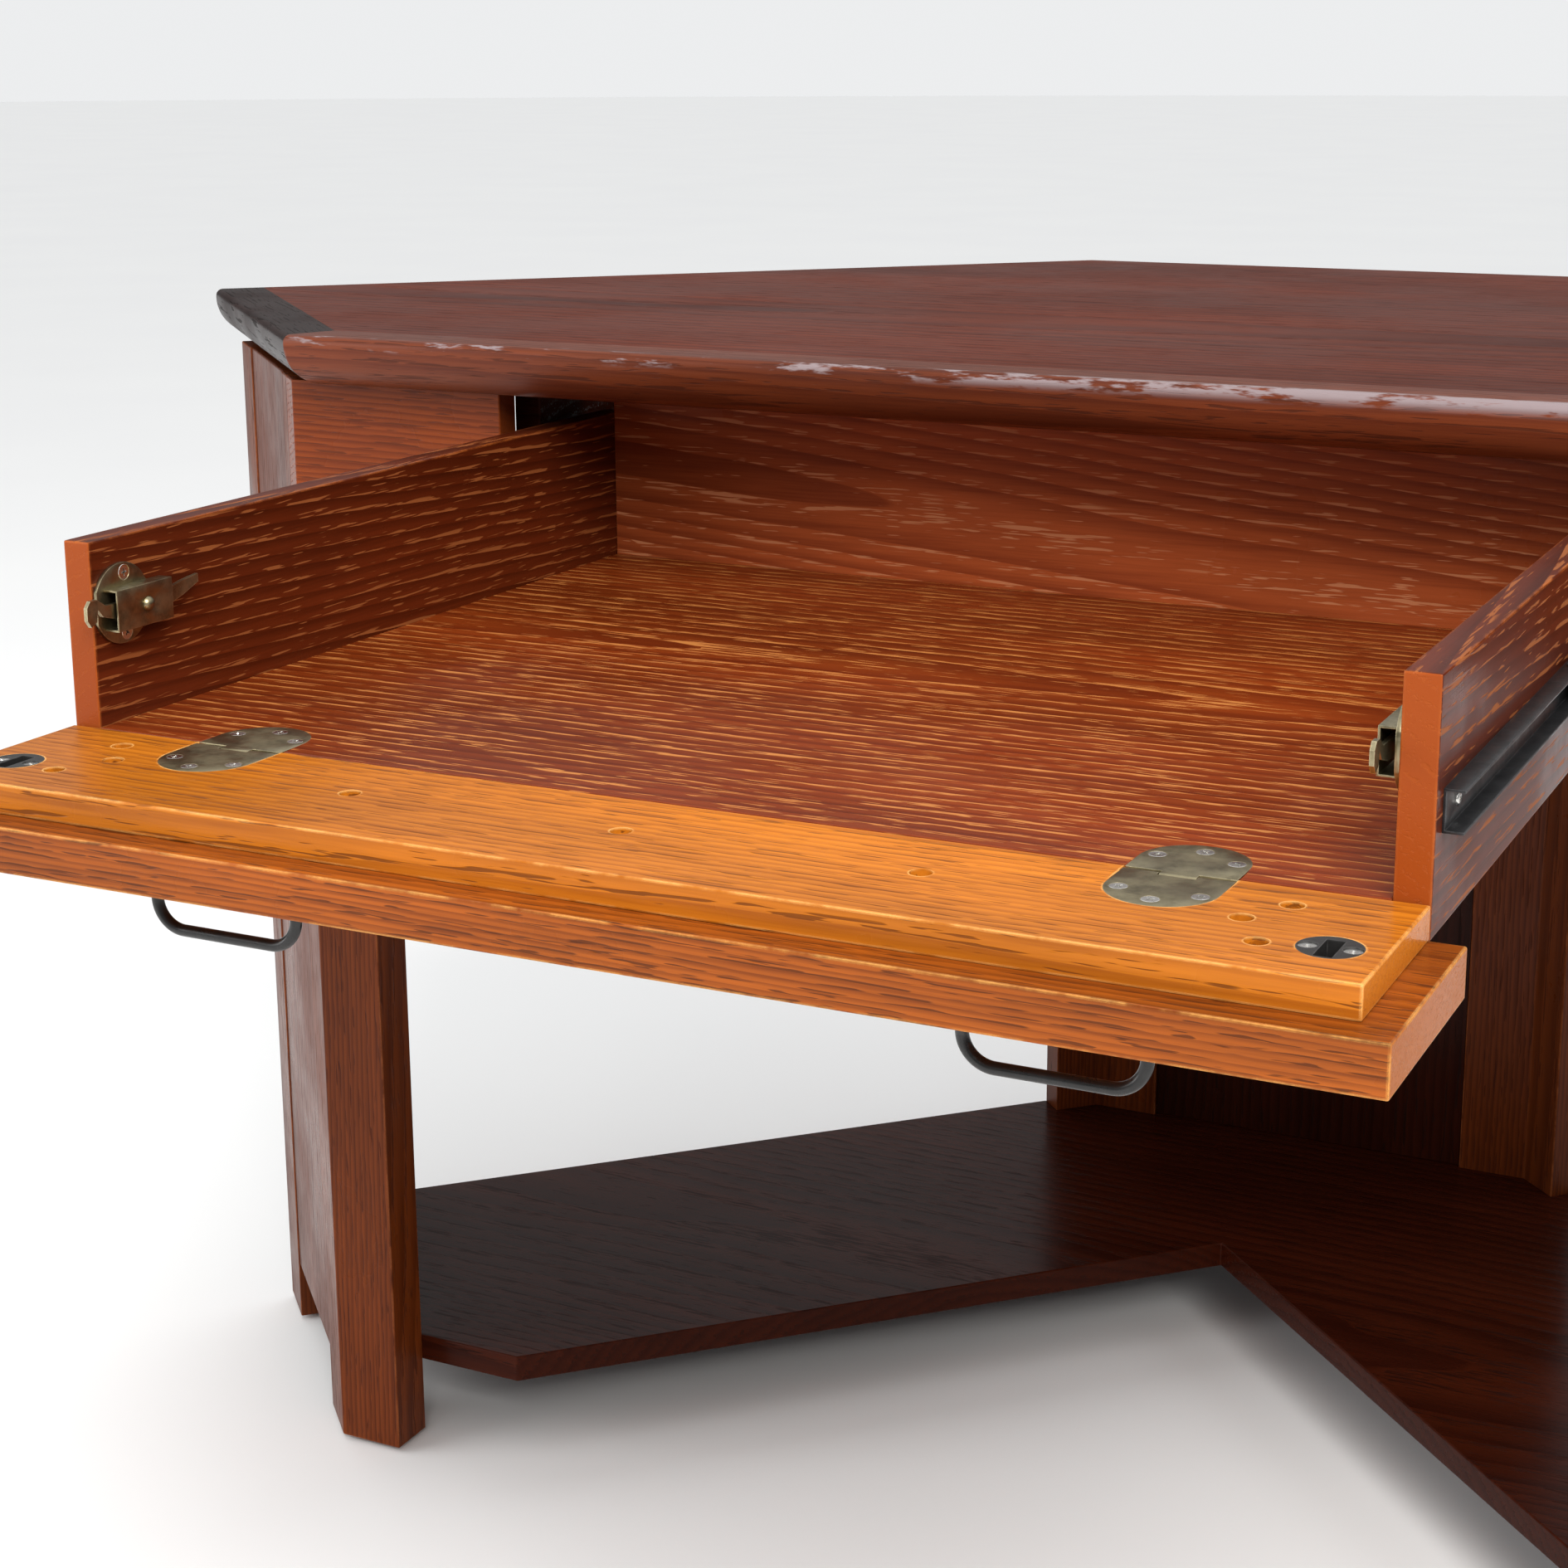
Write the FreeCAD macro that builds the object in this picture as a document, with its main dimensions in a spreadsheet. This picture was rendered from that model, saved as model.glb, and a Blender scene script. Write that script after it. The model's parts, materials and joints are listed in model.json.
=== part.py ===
import FreeCAD, Part
import os
import re
import Sketcher

# Corner desk with a pull-out keyboard drawer.  The drawer runs on two three-part
# ball slides, and its front folds down flat on a pair of flush oval hinges.
#
# Frame: millimetres, +Z up, X across the front, +Y towards the corner of the room.
# The origin is on the floor, at the middle of the desk's outline as it stands here,
# which is with the drawer pulled out and its front folded down.
#
# The desk is symmetric about the plane X = 0.  Its plan is a hexagon: a front edge,
# two side edges that meet the walls squarely, two wall edges and a clipped corner.

doc = FreeCAD.newDocument("corner_desk")
Vec = FreeCAD.Vector
NODES = {}

# ---------------------------------------------------------------- driving sizes
SIZES = {
    # top
    "desk_height": 762.0,
    "top_half": 475.0,          # half of the top's front edge
    "top_side": 327.0,          # length of each short side edge
    "top_clip_half": 219.0,     # half of the clipped back edge
    "top_thick": 20.0,
    "edge_band": 34.0,          # width of the solid edge moulding
    "edge_deep": 32.0,          # depth of the moulding
    "edge_arris": 5.0,          # rounding of its upper corner
    "edge_round": 26.0,         # big quarter round under its front
    # stand
    "side_overhang": 9.5,       # top past the ends of the stand
    "stand_side": 233.0,        # length of each end of the stand
    "leg_front": 46.0,          # width of a front leg's face
    "leg_deep": 45.0,
    "leg_thick": 32.0,
    "panel_thick": 18.0,
    "panel_inset": 1.0,         # end panel behind the legs' faces
    "panel_clear": 46.0,        # end panel's lower edge above the floor
    "shelf_height": 74.0,       # upper face of the lower shelf
    "shelf_thick": 18.0,
    "shelf_front": 76.0,        # shelf's front edge between a front leg and the notch
    "back_plane": 640.0,        # from the apron's face to the back of the stand
    "rear_wide": 60.0,          # rear leg along the back
    "rear_side": 45.0,          # and along the wall side
    "rear_thick": 22.0,
    "apron_thick": 18.0,
    "glide_high": 4.0,
    "glide_radius": 11.0,
    # drawer box
    "inner_wide": 620.0,
    "side_thick": 15.0,
    "side_high": 89.0,          # above the drawer's floor
    "back_over": 9.0,           # drawer's back above its sides
    "floor_thick": 15.0,
    "inner_deep": 488.0,
    "travel": 446.0,
    # slides
    "slide_thick": 12.7,
    "slide_high": 24.0,
    "slide_long": 450.0,
    "slide_rise": 22.0,         # above the drawer's floor
    "slide_set": 10.0,          # behind the drawer's front end
    "sheet": 1.2,               # steel of the rails
    "nest_gap": 0.4,            # above and below a nested rail
    "outer_step": 3.0,          # from the drawer's side to the lips of the outer rail
    "middle_step": 2.2,         # and to the lips of the middle rail
    "tip_gap": 0.6,             # from the inner rail's lips to the middle rail's web
    "pan_r": 3.2,               # pan heads of the slides' screws
    "pan_t": 1.0,
    "pan_gap": 0.2,             # between those heads and the rail that runs past them
    "pan_front": 20.0,          # screw behind a rail's front end
    "pan_back": 60.0,           # and before its back end
    "hanger_thick": 18.0,
    "hanger_drop": 10.0,        # hanger below its rail
    "hanger_lead": 10.0,        # hanger in front of its rail
    # folding front
    "inner_t": 14.0,
    "inner_over": 9.0,          # inner board's height above the drawer's side height
    "front_t": 21.0,
    "front_over": 16.0,         # outer board past the inner board
    "front_lap": 14.5,          # outer board past the drawer's sides
    "front_gap": 3.0,           # closed front below the top's moulding
    "opening_gap": 3.5,         # closed front beside the aprons
    "pivot_out": 5.0,           # hinge pin in front of the drawer's floor
    "pivot_down": 2.5,          # and below its upper face
    "joint_gap": 1.0,
    "front_head_t": 2.4,        # screws that join the two boards
    "front_web": 5.0,           # wood under their heads
    "front_grip": 13.0,         # their length in the outer board
    "access_r": 4.75,           # holes that they go in through
    "access_near": 23.0,        # rows of those holes, from the hinge line
    "access_mid": 45.0,
    "access_far": 69.0,
    "access_end": 32.0,         # columns, from the drawer's inner side
    "access_in": 45.0,
    "access_middle": 135.0,     # columns, from the middle
    # flush hinges
    "hinge_in": 83.0,           # centre from the drawer's inner side
    "hinge_wide": 46.0,
    "hinge_half": 42.0,
    "leaf_t": 2.5,
    "tongue": 15.4,             # width of the middle knuckle
    "knuckle_gap": 0.3,
    "pin_radius": 1.2,
    "fit": 0.05,                # running and seating clearance
    "swing_room": 1.0,          # round the knuckles in the flap
    "hinge_screw_side": 16.5,   # two outer screws of a leaf
    "hinge_screw_near": 23.0,
    "hinge_screw_far": 33.5,    # and the one at its end
    # flap catches
    "plate_r": 19.5,
    "plate_wide": 36.0,
    "plate_y": 19.0,
    "plate_down": 32.0,         # centre below the side's upper edge
    "plate_screw_y": 2.0,
    "plate_screw_z": 14.5,
    "catch_t": 2.0,             # brass of the plate and the lever
    "case_front": 6.0,
    "case_long": 40.0,
    "case_high": 20.0,
    "case_out": 8.0,
    "case_wall": 1.0,
    "catch_y": 28.0,            # pivot behind the drawer's front end
    "catch_down": 33.5,         # pivot below the side's upper edge
    "lever_set": 6.0,           # lever's inner face from the plate
    "rivet_r": 2.0,
    "dome_r": 4.0,
    "dome_sunk": 1.4,
    "hook_rise": 1.5,           # strike's centre above the lever's pivot
    # strikes
    "strike_r": 12.5,
    "strike_floor": 1.0,        # wood under the strike
    "slot_half": 3.5,
    "slot_floor": 1.0,
    "slot_in": 8.5,             # slot's ends from the strike's centre
    "slot_out": 11.0,
    "strike_screw": 8.5,        # its screws from the centre
    "strike_sunk": 0.6,
    "strike_grip": 19.0,
    # pulls
    "pull_in": 114.0,           # centre from the drawer's inner side
    "pull_half": 38.0,
    "pull_out": 36.0,
    "wire_r": 2.75,
    "wire_bend": 14.0,
    "pull_head_t": 3.0,
    # screws
    "shank_r": 1.5,
    "head_r": 3.8,
    "sink_deep": 2.2,           # countersunk head
    "screw_long": 9.0,
    "over": 1.0,                # how far a cut runs past the wood
}

# Places worked out from the sizes, as expressions for the sheet.
C45 = "sqrt(0.5)"
DERIVED = {
    # the front stands a little higher than the sides, and closes below the moulding
    "inner_high": "(side_high + inner_over)",
    "front_high": "(inner_high + front_over)",
    "drawer_drop": "(edge_deep + front_gap + front_high - pivot_out - pivot_down)",
    "fold_deep": "(inner_t + front_t + pivot_out - pivot_down)",
    "apron_y": "(hinge_y + travel - fold_deep)",
    "top_front": "(apron_y - edge_band)",
    "mitre_x": "(top_half - edge_band * (sqrt(2) - 1))",
    "stand_half": "(top_half + edge_band - side_overhang * sqrt(2))",
    "top_corner_x": f"(top_half + top_side * {C45})",
    "top_corner_y": f"(top_front + top_side * {C45})",
    "top_back": "(top_corner_y + top_corner_x - top_clip_half)",
    # the front of the fold and the back of the top are equally far from the origin
    "reach": f"(travel - fold_deep - edge_band + 2 * top_side * {C45} + top_half - top_clip_half)",
    "hinge_y": "((front_high - reach) / 2)",
    "floor_z": "(desk_height - drawer_drop)",
    "under_z": "(desk_height - top_thick)",
    "back_y": "(apron_y + back_plane)",
    "rear_x": f"(stand_half + 2 * stand_side * {C45} - back_plane)",
    "rear_bend": "(rear_thick * (sqrt(2) - 1))",
    "notch_x": "(stand_half - leg_front - shelf_front)",
    "panel_in": "(panel_inset + panel_thick)",
    "inner_half": "(inner_wide / 2)",
    "drawer_half": "(inner_half + side_thick)",
    "hanger_x": "(drawer_half + slide_thick)",
    "front_half": "(drawer_half + front_lap)",
    "open_half": "(front_half + opening_gap)",
    "slide_z": "(floor_z + slide_rise)",
    "slide_y": "(hinge_y + slide_set)",
    "rail_y": "(slide_y + travel)",
    "nest": "(sheet + nest_gap)",
    "pin_y": "(hinge_y - pivot_out)",
    "pin_z": "(floor_z - pivot_down)",
    "board_z": "(floor_z - inner_t)",
    "front_low": "(board_z - front_t)",
    "apron_low": "(pin_z - pivot_out + joint_gap)",
    "hinge_x": "(inner_half - hinge_in)",
    "pivot_y": "(hinge_y + catch_y)",
    "pivot_z": "(floor_z + side_high - catch_down)",
    "plate_z": "(floor_z + side_high - plate_down)",
    "plate_x": "(inner_half - catch_t)",
    "case_x": "(plate_x - case_out)",
    "strike_x": "(plate_x - lever_set + catch_t)",
    "strike_y": "(pin_y - (side_high - catch_down + hook_rise + pivot_down))",
    "strike_deep": "(inner_t - strike_floor)",
    "pull_x": "(inner_half - pull_in)",
    "pull_y": "(hinge_y - front_high / 2)",
}
SIDES = (("left", -1), ("right", 1))


def ex(text):
    """Spell an expression out in cells of the sheet."""
    text = str(text)
    while True:
        longer = re.sub(r"[a-z_]\w*", lambda m: DERIVED.get(m.group(0), m.group(0)), text)
        if longer == text:
            break
        text = longer
    return re.sub(r"[a-z_]\w*", lambda m: "Sizes." + m.group(0) if m.group(0) in SIZES else m.group(0), text)


sheet = doc.addObject("Spreadsheet::Sheet", "Sizes")
for row, (alias, number) in enumerate(SIZES.items(), 1):
    sheet.set(f"A{row}", alias)
    sheet.set(f"B{row}", str(number))
    sheet.setAlias(f"B{row}", alias)
doc.recompute()


# ---------------------------------------------------------------- helpers
TURNS = {
    "+Z": FreeCAD.Rotation(),
    "-Z": FreeCAD.Rotation(Vec(1, 0, 0), 180),
    "+X": FreeCAD.Rotation(Vec(0, 1, 0), 90),
    "-X": FreeCAD.Rotation(Vec(0, 1, 0), -90),
    "-Y": FreeCAD.Rotation(Vec(1, 0, 0), 90),
}


def bind(obj, **cells):
    for prop, text in cells.items():
        obj.setExpression(prop, ex(text))


def put(obj, x=0, y=0, z=0, turn=None):
    """Place an object at expressions x, y and z, after an optional fixed turn."""
    if turn is not None:
        obj.Placement = FreeCAD.Placement(Vec(), turn)
    for axis, text in (("x", x), ("y", y), ("z", z)):
        obj.setExpression(f".Placement.Base.{axis}", ex(text))
    return obj


gauge = doc.addObject("Part::Vertex", "gauge")


def place_of(x, y):
    """Where a pair of expressions lies now."""
    bind(gauge, X=x, Y=y)
    gauge.recompute()
    return Vec(gauge.X.Value, gauge.Y.Value, 0)


def node(name, obj):
    """Make an object a sub-part of its own."""
    obj.Label = name
    NODES[name] = obj
    return obj


def box(x, y, z, wide, deep, high):
    obj = doc.addObject("Part::Box", "block")
    bind(obj, Length=wide, Width=deep, Height=high)
    return put(obj, x, y, z)


def side_box(sign, x_in, y, z, wide, deep, high):
    """A box whose inner face is x_in away from the middle plane, on one side of it."""
    x = x_in if sign > 0 else f"-({x_in}) - ({wide})"
    return box(x, y, z, wide, deep, high)


def rod(x, y, z, radius, length, axis="+Z"):
    obj = doc.addObject("Part::Cylinder", "rod")
    bind(obj, Radius=radius, Height=length)
    return put(obj, x, y, z, TURNS[axis])


def cut(base, *tools):
    for tool in tools:
        obj = doc.addObject("Part::Cut", "cut")
        obj.Base = base
        obj.Tool = tool
        base = obj
    return base


def fuse(*parts):
    obj = doc.addObject("Part::MultiFuse", "joined")
    obj.Shapes = list(parts)
    return obj


def common(one, two):
    obj = doc.addObject("Part::Common", "common")
    obj.Base = one
    obj.Tool = two
    return obj


def group(parts):
    obj = doc.addObject("Part::Compound", "group")
    obj.Links = list(parts)
    return obj


def origin_plane(body, role):
    return next(f for f in body.Origin.OriginFeatures if f.Role == role)


def outline(body, points, role="XY_Plane"):
    """A closed sketch through points, each corner held by its two distances."""
    sketch = body.newObject("Sketcher::SketchObject", "outline")
    sketch.AttachmentSupport = [(origin_plane(body, role), "")]
    sketch.MapMode = "FlatFace"
    at = [place_of(x, y) for x, y in points]
    count = len(points)
    for i in range(count):
        sketch.addGeometry(Part.LineSegment(at[i], at[(i + 1) % count]), False)
    for i in range(count):
        sketch.addConstraint(Sketcher.Constraint("Coincident", i, 2, (i + 1) % count, 1))
    for i, (x, y) in enumerate(points):
        for kind, text, number in (("DistanceX", x, at[i].x), ("DistanceY", y, at[i].y)):
            held = sketch.addConstraint(Sketcher.Constraint(kind, -1, 1, i, 1, number))
            sketch.setExpression(f"Constraints[{held}]", ex(text))
    return sketch


def pad(body, sketch, length):
    feature = body.newObject("PartDesign::Pad", "pad")
    feature.Profile = sketch
    bind(feature, Length=length)
    body.Tip = feature
    return feature


def prism(points, z, high, sign=1):
    """A board with the given plan; sign -1 mirrors the plan to the left."""
    body = doc.addObject("PartDesign::Body", "board")
    if sign < 0:
        points = [(f"-({x})", y) for x, y in points]
    pad(body, outline(body, points), high)
    return put(body, 0, 0, z)


def end_point(along, inward):
    """A point of the right-hand end: along it from the front corner, and in from it."""
    return (
        f"stand_half + (({along}) - ({inward})) * {C45}",
        f"apron_y + (({along}) + ({inward})) * {C45}",
    )


# ---------------------------------------------------------------- top
def mirror_points(points):
    return points + [(f"-({x})", y) for x, y in reversed(points)]


right_top = [
    ("mitre_x", "apron_y"),
    (f"top_corner_x - edge_band * {C45}", f"top_corner_y + edge_band * {C45}"),
    ("top_clip_half", "top_back"),
]
node("top_panel", prism(mirror_points(right_top), "under_z", "top_thick"))


def moulding(length):
    """The edge's section along X from the origin, its outer face towards -Y."""
    body = doc.addObject("PartDesign::Body", "moulding")
    section = [("0", "-edge_deep"), ("edge_band", "-edge_deep"), ("edge_band", "0"), ("0", "0")]
    pad(body, outline(body, section, "YZ_Plane"), length)
    doc.recompute()
    under = "min(edge_round; edge_deep - 1.1 * edge_arris)"
    for high, radius in ((0.0, "edge_arris"), (-float(sheet.get("edge_deep")), under)):
        before = body.Tip
        names = [
            f"Edge{i}" for i, edge in enumerate(before.Shape.Edges, 1)
            if abs(edge.CenterOfMass.y) < 1e-6 and abs(edge.CenterOfMass.z - high) < 1e-6
        ]
        rounding = body.newObject("PartDesign::Fillet", "rounding")
        rounding.Base = (before, names)
        bind(rounding, Radius=radius)
        body.Tip = rounding
        doc.recompute()
    return body


front = put(moulding("2 * top_half"), "-top_half", "top_front", "desk_height")
mitred = [("top_half", "top_front"), ("mitre_x", "apron_y")]
plan = prism(mirror_points(mitred), "desk_height - edge_deep - over", "edge_deep + 2 * over")
node("edge_front", common(front, plan))
edge_room = {}      # what the side mouldings take up, which the stand's upper ends go round
for side, sign in SIDES:
    # the right-hand piece runs away from the mitre, the left-hand one towards it
    turn = FreeCAD.Rotation(Vec(0, 0, 1), 45 * sign)
    x, y = ("top_half", "top_front") if sign > 0 else ("-top_corner_x", "top_corner_y")
    strip = put(moulding("top_side"), x, y, "desk_height", turn)
    mitred = [
        ("top_half", "top_front"),
        ("top_corner_x", "top_corner_y"),
        (f"top_corner_x - edge_band * {C45}", f"top_corner_y + edge_band * {C45}"),
        ("mitre_x", "apron_y"),
    ]
    plan = prism(mitred, "desk_height - edge_deep", "edge_deep", sign)
    node(f"edge_{side}", common(strip, plan))
    edge_room[side] = plan

# ---------------------------------------------------------------- stand
rear_outline = [
    (f"rear_x + rear_side * {C45}", f"back_y - rear_side * {C45}"),
    ("rear_x", "back_y"),
    ("rear_x - rear_wide", "back_y"),
    ("rear_x - rear_wide", "back_y - rear_thick"),
    ("rear_x - rear_bend", "back_y - rear_thick"),
    (f"rear_x + (rear_side - rear_thick) * {C45}", f"back_y - (rear_side + rear_thick) * {C45}"),
]
glides = []
for side, sign in SIDES:
    leg = prism([
        ("stand_half", "apron_y"),
        ("stand_half - leg_front", "apron_y"),
        ("stand_half - leg_front", "apron_y + leg_thick"),
        end_point("leg_deep", "panel_in"),
        end_point("leg_deep", "0"),
    ], "glide_high", "under_z - glide_high", sign)
    # the apron laps over the leg's face, so the leg is halved behind it
    lap = side_box(sign, "stand_half - leg_front - over", "apron_y - over", "apron_low",
                   "leg_front + leg_deep", "apron_thick + over", "under_z - apron_low + over")
    node(f"front_leg_{side}", cut(leg, lap, edge_room[side]))
    apron = prism([
        ("open_half", "apron_y"),
        ("stand_half", "apron_y"),
        ("stand_half + apron_thick", "apron_y + apron_thick"),
        ("open_half", "apron_y + apron_thick"),
    ], "apron_low", "under_z - apron_low", sign)
    node(f"apron_{side}", cut(apron, edge_room[side]))
    panel = prism([
        end_point("leg_deep", "panel_inset"),
        end_point("stand_side - leg_deep", "panel_inset"),
        end_point("stand_side - leg_deep", "panel_in"),
        end_point("leg_deep", "panel_in"),
    ], "panel_clear", "under_z - panel_clear", sign)
    node(f"end_panel_{side}", cut(panel, edge_room[side]))
    side_leg = prism([
        end_point("stand_side - leg_deep", "0"),
        end_point("stand_side", "0"),
        end_point("stand_side", "leg_deep"),
        end_point("stand_side - leg_deep", "leg_deep"),
    ], "glide_high", "under_z - glide_high", sign)
    node(f"side_leg_{side}", cut(side_leg, edge_room[side]))
    node(f"rear_leg_{side}", prism(rear_outline, "glide_high", "under_z - glide_high", sign))
    node(f"slide_hanger_{side}", side_box(
        sign, "hanger_x", "rail_y - hanger_lead", "slide_z - hanger_drop",
        "hanger_thick", "slide_long + hanger_lead", "under_z - slide_z + hanger_drop"))
    # one glide under each leg, near the middle of its foot
    foot_front = end_point("leg_deep / 2", "leg_thick / 2 + 4")
    foot_side = end_point("stand_side - leg_deep / 2", "leg_deep / 2")
    foot_rear = ("rear_x - rear_thick", "back_y - rear_thick / 2")
    for x, y in (foot_front, foot_side, foot_rear):
        glides.append(rod(f"{sign} * ({x})", y, "0", "glide_radius", "glide_high"))
node("foot_glides", group(glides))

right_shelf = [
    ("notch_x", "apron_y + leg_thick"),
    ("stand_half - leg_front", "apron_y + leg_thick"),
    end_point("leg_deep", "panel_in"),
    end_point("stand_side - leg_deep", "panel_in"),
    end_point("stand_side - leg_deep", "leg_deep"),
    end_point("stand_side", "leg_deep"),
    rear_outline[0],
    rear_outline[5],
    rear_outline[4],
    rear_outline[3],
    rear_outline[2],
]
# the two halves of the knee notch meet squarely behind its middle
shelf_outline = mirror_points(right_shelf) + [("0", "apron_y + leg_thick + notch_x")]
node("lower_shelf", prism(shelf_outline, "shelf_height - shelf_thick", "shelf_thick"))
node("back_panel", box(
    "-(rear_x - rear_wide)", "back_y - panel_inset - panel_thick", "shelf_height",
    "2 * (rear_x - rear_wide)", "panel_thick", "under_z - shelf_height"))

# ---------------------------------------------------------------- slides
def channel(sign, x, y, level, wide, open_in):
    """A rail of C section, nested level deep; open_in turns its open side to the drawer."""
    low = f"slide_z + {level} * nest"
    high = f"slide_high - 2 * {level} * nest"
    whole = side_box(sign, x, y, low, wide, "slide_long", high)
    x_hollow = f"{x} - over" if open_in else f"{x} + sheet"
    hollow = side_box(sign, x_hollow, f"{y} - over", f"{low} + sheet",
                      f"{wide} - sheet + over", "slide_long + 2 * over", f"{high} - 2 * sheet")
    return cut(whole, hollow)


def pan_screw(x, y, head_axis, shank_axis, grip):
    """A pan-head screw whose head lies on a rail's web at x."""
    z = "slide_z + slide_high / 2"
    head = rod(x, y, z, "pan_r", "pan_t", head_axis)
    return fuse(head, rod(x, y, z, "shank_r", grip, shank_axis))


def pan_room(x, y, shank_axis, grip):
    """The hole that such a screw makes in the rail and the wood."""
    return rod(x, y, "slide_z + slide_high / 2", "shank_r + fit", f"{grip} + fit", shank_axis)


INWARD = {-1: "+X", 1: "-X"}
OUTWARD = {-1: "-X", 1: "+X"}
screws = {name: [] for name in (
    "slide_screws_drawer", "slide_screws_hanger", "hinge_screws_drawer", "hinge_screws_flap",
    "catch_screws", "strike_screws", "front_screws", "pull_screws")}
drawer_sides = {}
for side, sign in SIDES:
    outer = channel(sign, "drawer_half + outer_step", "rail_y", 0, "slide_thick - outer_step", True)
    hanger = NODES[f"slide_hanger_{side}"]
    web = f"{sign} * (hanger_x - sheet)"
    for y in ("rail_y + pan_front", "rail_y + slide_long - pan_back"):
        screws["slide_screws_hanger"].append(
            pan_screw(web, y, INWARD[sign], OUTWARD[sign], "screw_long"))
        room = pan_room(web, y, OUTWARD[sign], "screw_long")
        outer, hanger = cut(outer, room), cut(hanger, room)
    node(f"slide_hanger_rail_{side}", outer)
    node(f"slide_hanger_{side}", hanger)

    middle_wide = "(slide_thick - sheet - pan_t - pan_gap - middle_step)"
    node(f"slide_middle_rail_{side}", channel(
        sign, "drawer_half + middle_step", "slide_y + travel / 2", 1, middle_wide, True))

    rail_wide = f"({middle_wide} + middle_step - sheet - tip_gap)"
    rail = channel(sign, "drawer_half", "slide_y", 2, rail_wide, False)
    board = side_box(sign, "inner_half", "hinge_y", "floor_z - floor_thick",
                     "side_thick", "inner_deep + side_thick", "side_high + floor_thick")
    web = f"{sign} * (drawer_half + sheet)"
    for y in ("slide_y + pan_front", "slide_y + slide_long - pan_back"):
        screws["slide_screws_drawer"].append(
            pan_screw(web, y, OUTWARD[sign], INWARD[sign], "screw_long"))
        room = pan_room(web, y, INWARD[sign], "screw_long")
        rail, board = cut(rail, room), cut(board, room)
    node(f"slide_drawer_rail_{side}", rail)
    drawer_sides[side] = board


# ---------------------------------------------------------------- countersunk screws
def screw(x, y, z, axis, deep="sink_deep", grip="screw_long", room="0"):
    """A countersunk screw flush at a place and driven along the axis, or the hole for it."""
    head = doc.addObject("Part::Cone", "head")
    bind(head, Radius1=f"head_r + {room}", Radius2=f"shank_r + {room}", Height=deep)
    put(head, x, y, z, TURNS[axis])
    return fuse(head, rod(x, y, z, f"shank_r + {room}", f"{grip} + {room}", axis))


# ---------------------------------------------------------------- flush hinges
def oval(x):
    """The outline of an open hinge at x: a rod at each end and a block between them."""
    radius = "hinge_wide / 2"
    straight = f"(hinge_half - {radius})"
    low = "floor_z - leaf_t"
    return fuse(
        rod(x, f"pin_y - {straight}", low, radius, "leaf_t"),
        rod(x, f"pin_y + {straight}", low, radius, "leaf_t"),
        box(f"{x} - {radius}", f"pin_y - {straight}", low, "hinge_wide", f"2 * {straight}", "leaf_t"),
    )


def half_oval(x, toward, clear):
    """The leaf on one side of the pin, from clear away; toward is 1 for the drawer's."""
    front = f"pin_y + {clear}" if toward > 0 else f"pin_y - {clear} - hinge_half"
    keep = box(f"{x} - hinge_wide / 2", front, "floor_z - leaf_t", "hinge_wide", "hinge_half", "leaf_t")
    return common(oval(x), keep)


def leaf_screws(x, toward, room="0"):
    places = (("-1", "hinge_screw_near"), ("1", "hinge_screw_near"), ("0", "hinge_screw_far"))
    return [screw(f"{x} + {across} * hinge_screw_side", f"pin_y + {toward} * {along}",
                  "floor_z", "-Z", room=room) for across, along in places]


drawer_bottom = box("-inner_half", "hinge_y", "floor_z - floor_thick",
                    "inner_wide", "inner_deep", "floor_thick")
inner_board = box("-drawer_half", "hinge_y - inner_high", "board_z",
                  "2 * drawer_half", "inner_high - joint_gap", "inner_t")
outer_board = box("-front_half", "hinge_y - front_high", "front_low",
                  "2 * front_half", "front_high - joint_gap", "front_t")
pins = []
for side, sign in SIDES:
    x = f"{sign} * hinge_x"
    cheek = "((hinge_wide - tongue) / 2)"
    edge = f"{x} - hinge_wide / 2"
    bore = rod(f"{edge} - over", "pin_y", "pin_z", "pin_radius + fit", "hinge_wide + 2 * over", "+X")

    # the drawer's leaf reaches the pin with its middle knuckle
    strap = box(f"{x} - tongue / 2", "pin_y", "floor_z - leaf_t", "tongue", "pivot_out", "leaf_t")
    middle = rod(f"{x} - tongue / 2", "pin_y", "pin_z", "pivot_down", "tongue", "+X")
    leaf = fuse(half_oval(x, 1, "(pivot_down + knuckle_gap)"), strap, middle)
    node(f"hinge_drawer_leaf_{side}", cut(leaf, bore, *leaf_screws(x, 1, "fit")))

    # the flap's leaf has the two outer knuckles, and a notch for the middle one
    notch = box(f"{x} - tongue / 2 - knuckle_gap", "pin_y - pivot_down - knuckle_gap",
                "floor_z - leaf_t - over", "tongue + 2 * knuckle_gap", "pivot_down + over",
                "leaf_t + 2 * over")
    knuckles = [rod(low, "pin_y", "pin_z", "pivot_down", f"{cheek} - knuckle_gap", "+X")
                for low in (edge, f"{x} + tongue / 2 + knuckle_gap")]
    leaf = fuse(cut(half_oval(x, -1, "0"), notch), *knuckles)
    node(f"hinge_flap_leaf_{side}", cut(leaf, bore, *leaf_screws(x, -1, "fit")))

    pins.append(rod(edge, "pin_y", "pin_z", "pin_radius", "hinge_wide", "+X"))
    screws["hinge_screws_drawer"] += leaf_screws(x, 1)
    screws["hinge_screws_flap"] += leaf_screws(x, -1)

    # both boards are let in for the leaves, and the flap for the turning knuckles
    drawer_bottom = cut(drawer_bottom, oval(x), *leaf_screws(x, 1, "fit"))
    turning = box(f"{edge} - knuckle_gap", "pin_y - pivot_down - swing_room",
                  "pin_z - pivot_down - 0.5 * swing_room", "hinge_wide + 2 * knuckle_gap",
                  "pivot_down + swing_room + pivot_out", "2 * pivot_down + swing_room")
    inner_board = cut(inner_board, oval(x), turning, *leaf_screws(x, -1, "fit"))
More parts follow.
